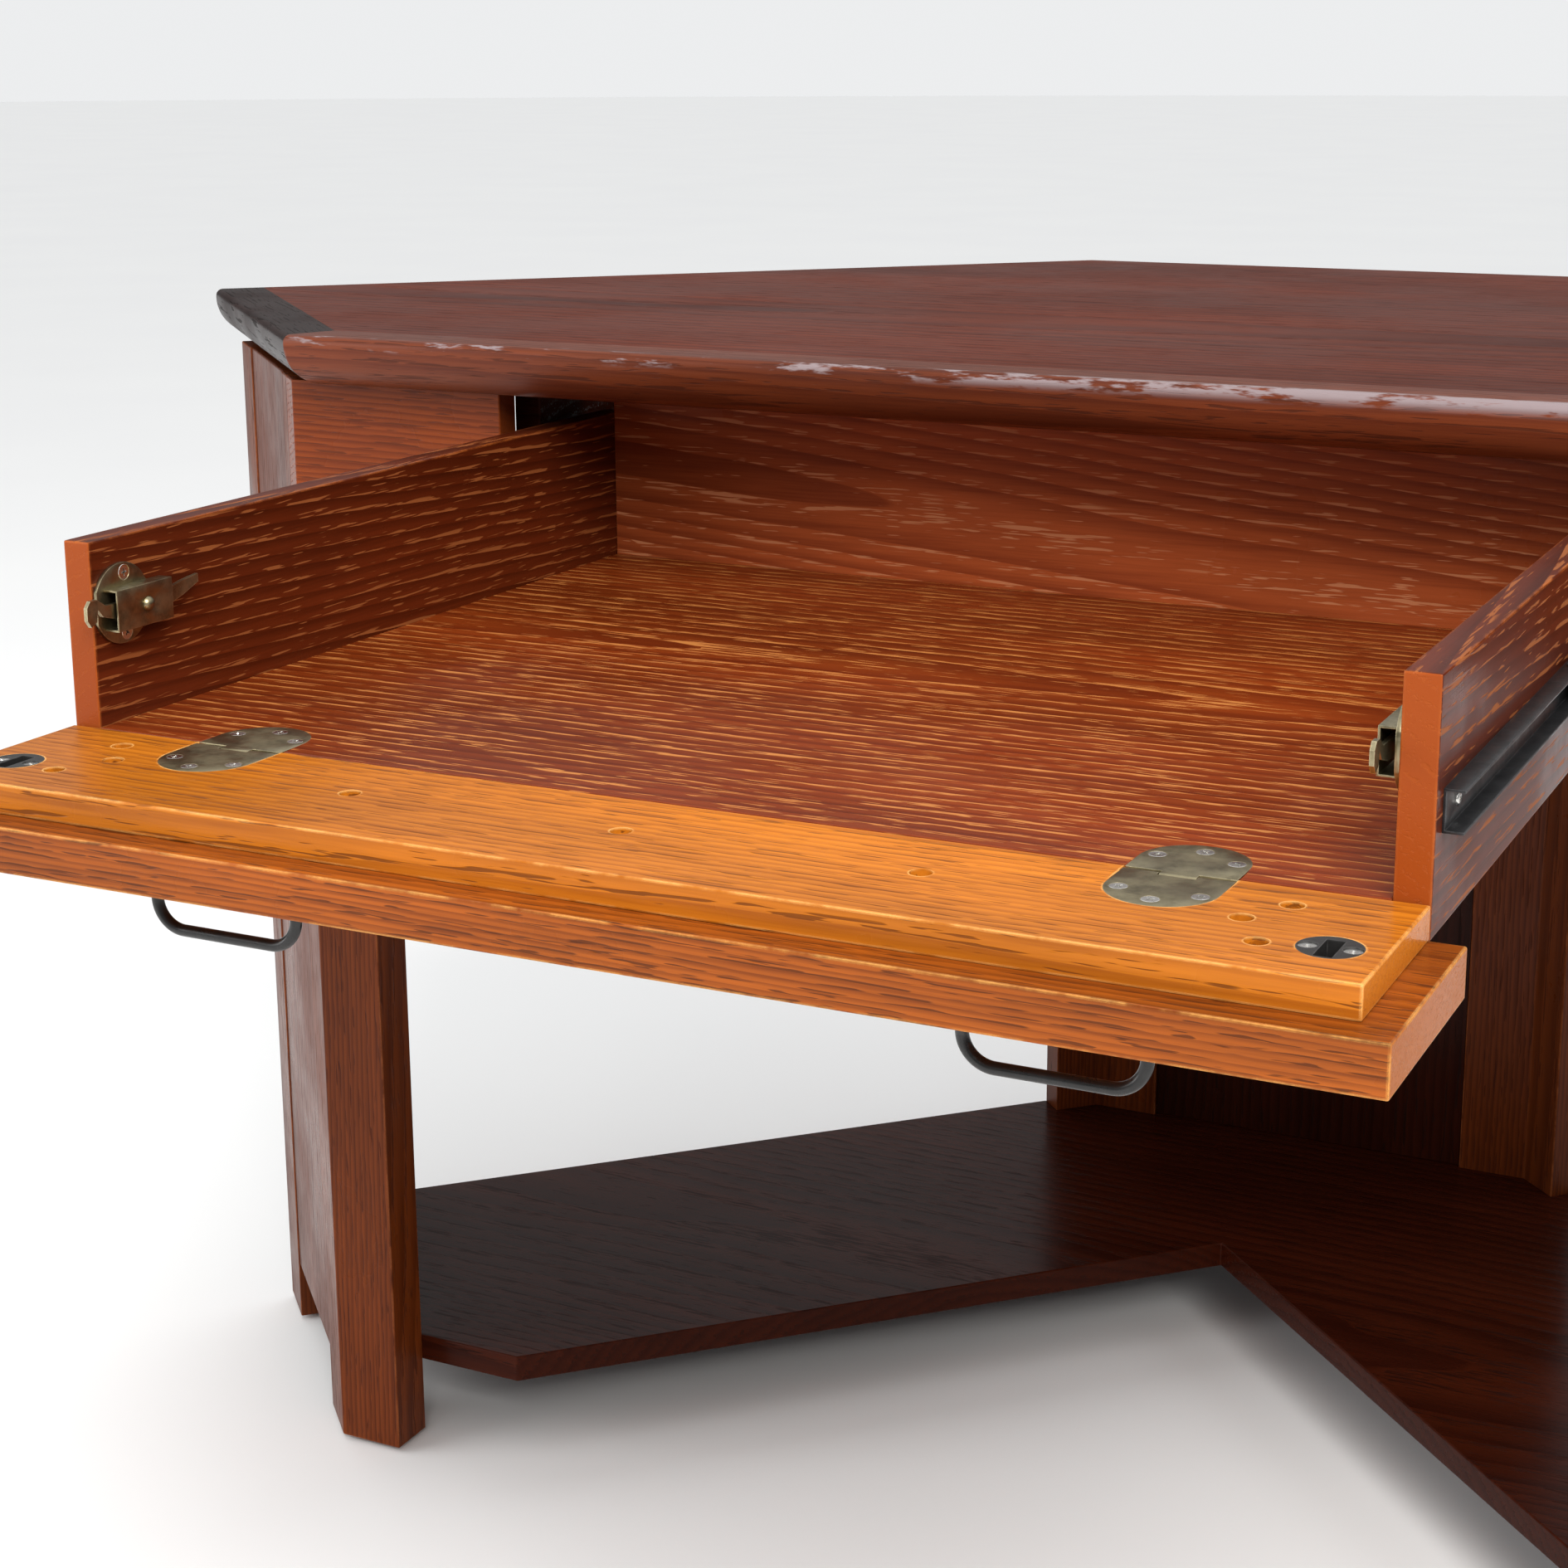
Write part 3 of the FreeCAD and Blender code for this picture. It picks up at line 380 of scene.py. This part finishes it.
front_oak = oak("folded front outside",
                (0.36, 0.085, 0.008), (0.120, 0.024, 0.003), (0.045, 0.010, 0.002),
                cut_at=(0.7, 0, 0), heart=(0, -0.45, drawer_top_z - 0.35), tilt=0.008,
                ring_width=0.0026,
                warp=0.004, pore_amount=0.62, pore_strength=0.75, wear_and_highlight=(0.80, 0.40, 0.10),
                gloss=(0.24, 0.36),
                shine=0.16, end=(0.42, 0.115, 0.010))
apron_oak = oak("apron stain",
                (0.215, 0.042, 0.007), (0.085, 0.013, 0.003), (0.045, 0.008, 0.002),
                cut_at=(0.1, 0.3, 0), heart=(0, 0.1, 0.42), ring_width=0.004, warp=0.005,
                pore_strength=0.6)
leg_oak = oak("leg stain", (0.155, 0.033, 0.006), (0.055, 0.010, 0.002), STAND_PORE,
              grain=ALONG_Z, heart=(0, -0.2, 0.9), ring_width=0.0036, warp=0.004,
              pore_strength=0.6, wear_and_highlight=(0.34, 0.10, 0.03), shine=0.10)
panel_oak = oak("panel stain",
                (0.130, 0.027, 0.006), (0.050, 0.009, 0.002), STAND_PORE, grain=ALONG_Z,
                heart=(0, 0.1, 0.9), ring_width=0.006, warp=0.008, pore_strength=0.5, shine=0.10)
shelf_oak = oak("shelf stain",
                (0.050, 0.009, 0.003), (0.017, 0.003, 0.0015), (0.010, 0.002, 0.001),
                heart=(0, 0.2, -0.1), ring_width=0.008, warp=0.012, gloss=(0.16, 0.26), shine=0.07)
back_oak = oak("back panel stain",
               (0.035, 0.007, 0.003), (0.014, 0.003, 0.0015), (0.008, 0.002, 0.001),
               grain=ALONG_Z, heart=(0, 0.5, 0.9), ring_width=0.008, warp=0.008, gloss=(0.2, 0.3),
               shine=0.07)
print(len(bpy.data.materials), "materials so far")

# %% [markdown]
# The two end mouldings of the top are stained nearly black, and the left one is darker still: a
# painted shade, as it faces away from the lamp.  The front one is redder, and its arris gets
# blotches of a painted highlight, a pale grey-lilac that stands for the sky mirrored in its lacquer.

# %% The moulding finishes
# Painted highlight: the pale grey-lilac edge colour of the front moulding, on its edges and in blotches
# along its front arris, stands for the sky mirrored in its lacquer.
front_edge_oak = oak("front moulding stain",
                     (0.185, 0.042, 0.014), (0.075, 0.014, 0.006), (0.036, 0.008, 0.004),
                     cut_at=(0.9, 0, 0), heart=(0, -0.3, 0.56), ring_width=0.004, warp=0.004,
                     pore_strength=0.6,
                     wear_and_highlight=(0.25, 0.195, 0.20), wear=0.2, gloss=(0.30, 0.42), shine=0.16,
                     arris_highlight=(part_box("edge_front")[0].y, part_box("edge_front")[1].z, 9 * MM))
side_edge_oak = {
    # Painted shade: the left end moulding is coloured darker than the right, as it faces away from the
    # lamp.
    "left": oak("left moulding stain and painted shade",
                (0.022, 0.007, 0.005), (0.010, 0.004, 0.003), (0.006, 0.003, 0.002),
                grain=LEFT_END, heart=(0, 0.2, 0.56), ring_width=0.004,
                wear_and_highlight=(0.06, 0.03, 0.02), shine=0.05),
    "right": oak("right moulding stain",
                 (0.040, 0.011, 0.006), (0.018, 0.006, 0.004), (0.010, 0.004, 0.003),
                 grain=RIGHT_END, heart=(0, 0.2, 0.56), ring_width=0.004,
                 wear_and_highlight=(0.12, 0.06, 0.04), shine=0.15)}
print("moulding finishes ready")

# %% [markdown]
# ## The metals and plastics
# The hinges and catches are brass that has darkened to olive, with the rims rubbed bright.  The
# slides and pulls are steel under black enamel.  The screws are plain zinc-plated steel.  They
# share one function with the plastics, which blends a fresh and an aged colour by patches and
# by edge wear.

# %% A function for aged metal
def metal(name, fresh, aged, gloss, metallic=1.0, patches=90.0, age=0.5, wear=0.6, relief=0.15):
    """Metal or plastic: fresh is its clean colour, aged its colour in patches, gloss its roughness."""
    material, w, surface, position = new_material(name)
    spots = w.noise(position, patches, 5.0, 0.65)
    film = placed(w, smudges, position, Size=60.0, Scratches=0.5)
    edge = placed(w, edge_wear, position, Width=0.8 * MM, Amount=wear, Patches=240.0)
    old = w.ramp(w.math("ADD", spots, age), 0.80, 1.25)
    bare = w.math("MAXIMUM", edge["Mask"], w.math("MULTIPLY", film["Scratch"], 0.5))
    colour = w.blend(old, (*fresh, 1), (*aged, 1))
    rubbed_bright = [min(1.0, 1.5 * c + 0.04) for c in fresh]
    w.feed(surface.inputs["Base Color"], w.blend(bare, colour, (*rubbed_bright, 1)))
    rough = w.ramp(film["Film"], 0.0, 1.0, gloss[0], gloss[1])
    w.feed(surface.inputs["Roughness"], w.math("ADD", rough, w.math("MULTIPLY", old, 0.08)))
    bump = w.add("ShaderNodeBump", Strength=relief, Distance=0.1 * MM, Height=spots)
    w.feed(surface.inputs["Normal"], bump)
    surface.inputs["Metallic"].default_value = metallic
    return material


brass = metal("aged brass", (0.36, 0.31, 0.19), (0.125, 0.105, 0.062), (0.28, 0.42), age=0.45)
slide_steel = metal("black slide steel",
                    (0.030, 0.030, 0.032), (0.016, 0.016, 0.017), (0.28, 0.40), metallic=0.5)
pull_steel = metal("black pull wire",
                   (0.020, 0.019, 0.019), (0.010, 0.010, 0.010), (0.20, 0.32), metallic=0.3,
                   wear=0.2)
zinc = metal("zinc plated steel",
             (0.66, 0.65, 0.62), (0.36, 0.35, 0.33), (0.20, 0.34), patches=300.0, age=0.3)
black_plastic = metal("black plastic",
                      (0.018, 0.017, 0.016), (0.012, 0.011, 0.011), (0.38, 0.5), metallic=0.0,
                      patches=900.0, relief=0.3)
glide_plastic = metal("brown glide plastic",
                      (0.055, 0.035, 0.022), (0.030, 0.020, 0.013), (0.40, 0.55),
                      metallic=0.0, patches=400.0)
print(len(bpy.data.materials), "materials in all")

# %% [markdown]
# ## Which finish goes where
# The record names one material slot for each node.  The dictionary below gives each slot its
# finish, and a few nodes whose boards run another way have a finish of their own.

# %% Finishes by slot and by node
finish_of_slot = {
    "top_board": top_oak, "edge_moulding": front_edge_oak, "stand_wood": leg_oak,
    "apron_wood": apron_oak, "shelf_wood": shelf_oak, "drawer_wood": drawer_floor_oak,
    "flap_wood": flap_oak, "front_wood": front_oak, "slide_steel": slide_steel,
    "aged_brass": brass, "pull_wire": pull_steel, "strike_plastic": black_plastic,
    "screw_steel": zinc, "glide_plastic": glide_plastic}
finish_of_node = {"drawer_back": drawer_back_oak, "back_panel": back_oak}
for side in SIDES:
    finish_of_node[f"edge_{side}"] = side_edge_oak[side]
    finish_of_node[f"drawer_side_{side}"] = drawer_side_oak
    finish_of_node[f"end_panel_{side}"] = panel_oak


def finish_for(node):
    return finish_of_node.get(node, finish_of_slot[slot_of[node]])


def paint(thing, material):
    thing.data.materials.clear()
    thing.data.materials.append(material)


for name, node in nodes.items():
    paint(node, finish_for(name))
print("painted", len(nodes), "nodes")

# %% [markdown]
# ## Easing the edges
# No joiner leaves an edge knife sharp: every arris is sanded round by a fraction of a
# millimetre, and that tiny round is what catches the light.  The CAD meshes may not be changed,
# so each board of the stand and the drawer is copied, its coplanar triangles are dissolved into
# whole faces, and its long sharp edges get a narrow bevel.  The top and its mouldings are shaped
# in the CAD already, and stay.

# %% Pieces from meshes
WELD = 0.001 * MM


def piece_from(bm, name, body, material, smooth_below=None):
    """Turns a bmesh, built in the frame's own coordinates, into a piece that rides on a body."""
    mesh = bpy.data.meshes.new(name)
    bmesh.ops.recalc_face_normals(bm, faces=bm.faces)
    bm.to_mesh(mesh)
    bm.free()
    if "custom_normal" in mesh.attributes:
        mesh.attributes.remove(mesh.attributes["custom_normal"])
    if smooth_below is not None:
        mesh.shade_smooth()
        mesh.set_sharp_from_angle(angle=math.radians(smooth_below))
    else:
        mesh.shade_flat()
    piece = bpy.data.objects.new(name, mesh)
    bpy.context.scene.collection.objects.link(piece)
    paint(piece, material)
    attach(piece, body)
    return piece


def welded(node):
    """A node's mesh as a bmesh, with the vertices that lie on each other made one."""
    bm = bmesh.new()
    bm.from_mesh(nodes[node].data)
    bmesh.ops.remove_doubles(bm, verts=bm.verts, dist=WELD)
    return bm


# %% Ease the boards
FLAT = math.radians(0.4)       # faces nearer to one plane than this become one
BOARD_EASE, BOARD_EDGE = 0.9 * MM, 12 * MM       # width of the round, shortest edge that gets it
BOARD_SLOTS = ("stand_wood", "apron_wood", "shelf_wood", "drawer_wood", "flap_wood", "front_wood")


def eased(node, width, sharper_than=40, longer_than=0.0, smooth_below=None):
    bm = welded(node)
    bmesh.ops.dissolve_limit(bm, angle_limit=FLAT, verts=bm.verts, edges=bm.edges)
    sharp = [e for e in bm.edges if e.is_manifold and e.calc_length() > longer_than
             and e.calc_face_angle(0) > math.radians(sharper_than)]
    bmesh.ops.bevel(bm, geom=sharp, offset=width, segments=2, profile=0.5, affect="EDGES",
                    clamp_overlap=False)
    bmesh.ops.triangulate(bm, faces=[f for f in bm.faces if len(f.verts) > 4])
    piece = piece_from(bm, f"{node}_eased", body_of[node], finish_for(node),
                       smooth_below)
    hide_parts(node)


boards = [n for n in nodes if slot_of[n] in BOARD_SLOTS]
for node in boards:
    eased(node, BOARD_EASE, longer_than=BOARD_EDGE)
print("eased", len(boards), "boards")

# %% [markdown]
# ## Screws with cross recesses
# Every screw of the desk is driven with a cross-tip screwdriver.  The CAD gives each group of
# screws as plain turned solids.  Each separate solid tells where a screw sits, which way it
# points, and how wide and long it is.  They come in no fixed order, so which screw gets
# which turn of its cross differs from run to run.  A new screw is turned from a half outline, and
# its head is closed by a face with a cross-shaped pocket.

# %% Where the screws are
AXES = (Vector((1, 0, 0)), Vector((0, 1, 0)), Vector((0, 0, 1)))


def islands(bm):
    """The points of each group of vertices that hang together, in no fixed order."""
    left, groups = set(bm.verts), []
    while left:
        reached = [left.pop()]
        for vert in reached:
            for edge in vert.link_edges:
                other = edge.other_vert(vert)
                if other in left:
                    left.remove(other)
                    reached.append(other)
        groups.append([v.co.copy() for v in reached])
    return groups


def turned_places(node):
    """For each turned solid: the middle of its head's face, the way out, its radius and length."""
    bm = welded(node)
    places = []
    for points in islands(bm):
        low = Vector([min(p[i] for p in points) for i in range(3)])
        high = Vector([max(p[i] for p in points) for i in range(3)])
        size, middle = high - low, (low + high) / 2
        axis = min(range(3), key=lambda i: abs(size[(i + 1) % 3] - size[(i + 2) % 3]))
        radius = size[(axis + 1) % 3] / 2
        wide = [p[axis] for p in points if (p - middle).cross(AXES[axis]).length > 0.9 * radius]
        out = 1 if sum(wide) / len(wide) > middle[axis] else -1
        face = middle + AXES[axis] * out * size[axis] / 2
        places.append((face, AXES[axis] * out, radius, size[axis]))
    bm.free()
    return places


screw_nodes = [n for n in nodes if slot_of[n] == "screw_steel"]
for node in screw_nodes:
    face, out, radius, length = turned_places(node)[0]
    print(node, len(turned_places(node)), "of radius", round(radius / MM, 2),
          "and length", round(length / MM, 1))

# %% [markdown]
# The cross has four arms with narrow ends.  Its outline is worked out for one arm and turned
# three times by a quarter.  Sunk heads are flat with a cone below, and pan heads are domed.

# %% Rings and the cross
ROUND = 28                 # corners of a turned circle
TURN_EACH = 2.4            # radians from one screw's cross to the next one's


def turned_ring(bm, radius, drop, frame_of):
    spots = [math.tau * i / ROUND for i in range(ROUND)]
    return [bm.verts.new(frame_of @ Vector((radius * math.cos(a), radius * math.sin(a), -drop)))
            for a in spots]


def join_rings(bm, one, two):
    for i in range(len(one)):
        j = (i + 1) % len(one)
        bm.faces.new((one[i], one[j], two[j], two[i]))


def cross_outline(reach, half):
    arm = [(half, -half), (reach, -0.7 * half), (reach, 0.7 * half)]
    return [(x * math.cos(q) - y * math.sin(q), x * math.sin(q) + y * math.cos(q))
            for q in (math.pi / 2 * k for k in range(4)) for x, y in arm]


print("a cross has", len(cross_outline(1.0, 0.2)), "corners")


# %% Build the screws
def add_screw(bm, face, out, radius, length, spin, domed):
    turn = out.to_track_quat("Z", "Y").to_matrix().to_4x4()
    frame_of = Matrix.Translation(face) @ turn @ Matrix.Rotation(spin, 4, "Z")
    reach, half, deep = 0.50 * radius, 0.12 * radius, min(0.45 * radius, 0.5 * length)
    shank = 0.45 * radius
    if domed:
        outline = [(0.62, 0.0), (0.80, 0.10), (0.93, 0.25), (1.0, 0.45), (1.0, 0.62)]
        outline = [(r * radius, d * 0.9 * radius) for r, d in outline]
    else:
        outline = [(0.94 * radius, 0.0), (radius, 0.05 * radius), (0.98 * radius, 0.12 * radius)]
    neck = outline[-1][1] + (0.0 if domed else 0.5 * radius)
    outline += [(shank, min(neck, 0.8 * length)), (shank, 0.92 * length), (0.5 * shank, length)]
    rings = [turned_ring(bm, r, d, frame_of) for r, d in outline]
    for one, two in zip(rings, rings[1:]):
        join_rings(bm, one, two)
    bm.faces.new(rings[-1])
    cross = cross_outline(reach, half)
    crosses = [[bm.verts.new(frame_of @ Vector((x * s, y * s, -d))) for x, y in cross]
               for s, d in ((1.0, 0.0), (0.72, deep))]
    join_rings(bm, *crosses)
    bm.faces.new(crosses[1])
    rim = [bm.edges.get((ring[i], ring[(i + 1) % len(ring)]))
           for ring in (rings[0], crosses[0]) for i in range(len(ring))]
    bmesh.ops.triangle_fill(bm, use_beauty=True, edges=rim)


turned = 0
for node in screw_nodes:
    bm = bmesh.new()
    for face, out, radius, length in turned_places(node):
        turned += 1
        add_screw(bm, face, out, radius, length, TURN_EACH * turned,
                  domed=node.startswith("slide"))
    bmesh.ops.triangulate(bm, faces=[f for f in bm.faces if len(f.verts) > 4])
    piece = piece_from(bm, f"{node}_crossed", body_of[node], zinc,
                       smooth_below=32)
    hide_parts(node)
print("turned", turned, "screws")

# %% [markdown]
# ## Brass, black steel and plastic pieces
# The hinge leaves, catch plates, slides and glides have the right shape in the CAD, but a
# stamped or moulded rim is never sharp.  They get a narrow bevel all round, and shading that is
# smooth over their curves and crisp at their corners.  Strikes, catch levers, pulls and
# mouldings keep the CAD's mesh and get the shading only: a bevel of the strikes threw a spike
# that touched the lever when the front was shut.

# %% Ease the metal and plastic pieces
RIM_EASE = 0.22 * MM
KEPT_SLOTS = ("pull_wire", "edge_moulding", "strike_plastic")
levers = [n for n in nodes if n.startswith("catch_lever")]
fittings = [n for n in nodes if slot_of[n] in ("aged_brass", "slide_steel", "glide_plastic")
            and n not in levers]
for node in fittings:
    eased(node, RIM_EASE, sharper_than=50, smooth_below=28)
for node in levers + [n for n in nodes if slot_of[n] in KEPT_SLOTS]:
    nodes[node].data.shade_smooth()
    nodes[node].data.set_sharp_from_angle(angle=math.radians(30))
print("eased", len(fittings), "fittings")

# %% [markdown]
# ## The floor, the light and the camera
# A wide pale floor, one big soft lamp from the front right, and a pale sky all round keep the
# shadows soft, so that the wood's own colours carry the picture.

# %% Floor
FLOOR_REACH = 40.0
bm = bmesh.new()
bmesh.ops.create_circle(bm, cap_ends=True, radius=FLOOR_REACH, segments=96)
floor_mesh = bpy.data.meshes.new("floor")
bm.to_mesh(floor_mesh)
bm.free()
floor = bpy.data.objects.new("floor", floor_mesh)
bpy.context.scene.collection.objects.link(floor)
floor_paint, w, surface, position = new_material("pale floor")
mottle = w.noise(position, 1.5, 3.0)
pale = w.blend(mottle, (0.86, 0.86, 0.86, 1), (0.90, 0.90, 0.89, 1))
w.feed(surface.inputs["Base Color"], pale)
surface.inputs["Roughness"].default_value = 0.8
paint(floor, floor_paint)
print("floor", 2 * FLOOR_REACH, "metres wide")

# %% [markdown]
# Lacquer seen at a low angle mirrors the horizon, and a bright one would grey the wood.  So the
# sky lights the desk from above and is dim near the horizon, while the camera itself sees an
# even pale sky.  The Standard view transform keeps the stains as saturated as they are painted.

# %% Sky and lamps
DIM_HORIZON, BRIGHT_ZENITH, SEEN_SKY = 0.22, 1.15, 0.86
bpy.context.scene.view_settings.view_transform = "Standard"
sky = bpy.data.worlds.new("pale sky")
sky.use_nodes = True
w = Wiring(sky.node_tree)
backdrop = sky.node_tree.nodes["Background"]
way = w.add("ShaderNodeTexCoord").outputs["Generated"]
upward = w.add("ShaderNodeSeparateXYZ", Vector=way).outputs[2]
dome = w.ramp(upward, 0.10, 0.80, DIM_HORIZON, BRIGHT_ZENITH)
seen = w.add("ShaderNodeLightPath").outputs["Is Camera Ray"]
glow = w.math("MAXIMUM", w.math("MULTIPLY", seen, SEEN_SKY), dome)
backdrop.inputs["Color"].default_value = (0.98, 0.99, 1.0, 1)
w.feed(backdrop.inputs["Strength"], glow)
bpy.context.scene.world = sky


def lamp(name, place, target, size, power, colour=(1, 1, 1)):
    light = bpy.data.lights.new(name, "AREA")
    light.shape, light.size, light.energy, light.color = "SQUARE", size, power, colour
    holder = bpy.data.objects.new(name, light)
    holder.location = place
    holder.rotation_euler = (Vector(target) - Vector(place)).to_track_quat("-Z", "Y").to_euler()
    bpy.context.scene.collection.objects.link(holder)


lamp("big soft lamp", (1.6, -2.4, 3.0), (0, -0.2, 0.5), 2.2, 150, (1.0, 0.98, 0.95))
lamp("low fill", (-2.6, -2.0, 1.4), (0, 0, 0.5), 2.0, 45)
print(len(bpy.data.lights), "lamps")

# %% [markdown]
# ## The camera
# It stands in front of the desk a little to the right, about as high as a person's chest, and
# looks slightly down and to the left, so that the open drawer is seen from above.

# %% Camera
LENS, STAND = 62.61, Vector((0.5457, -1.4685, 0.9404))
TURN, DIP, LEAN = (math.radians(a) for a in (25.798, 13.579, -0.194))
forward = Vector((-math.sin(TURN) * math.cos(DIP), math.cos(TURN) * math.cos(DIP), -math.sin(DIP)))
level = Vector((math.cos(TURN), math.sin(TURN), 0))
upright = level.cross(forward)
right = level * math.cos(LEAN) + upright * math.sin(LEAN)
up = upright * math.cos(LEAN) - level * math.sin(LEAN)
camera = bpy.data.objects.new("camera", bpy.data.cameras.new("camera"))
camera.data.lens, camera.data.shift_x, camera.data.shift_y = LENS, -0.027, -0.06
turned_to = Matrix((right, up, -forward)).transposed().to_4x4()
camera.matrix_world = Matrix.Translation(STAND) @ turned_to
bpy.context.scene.collection.objects.link(camera)
bpy.context.scene.camera = camera
print("camera at", tuple(STAND))
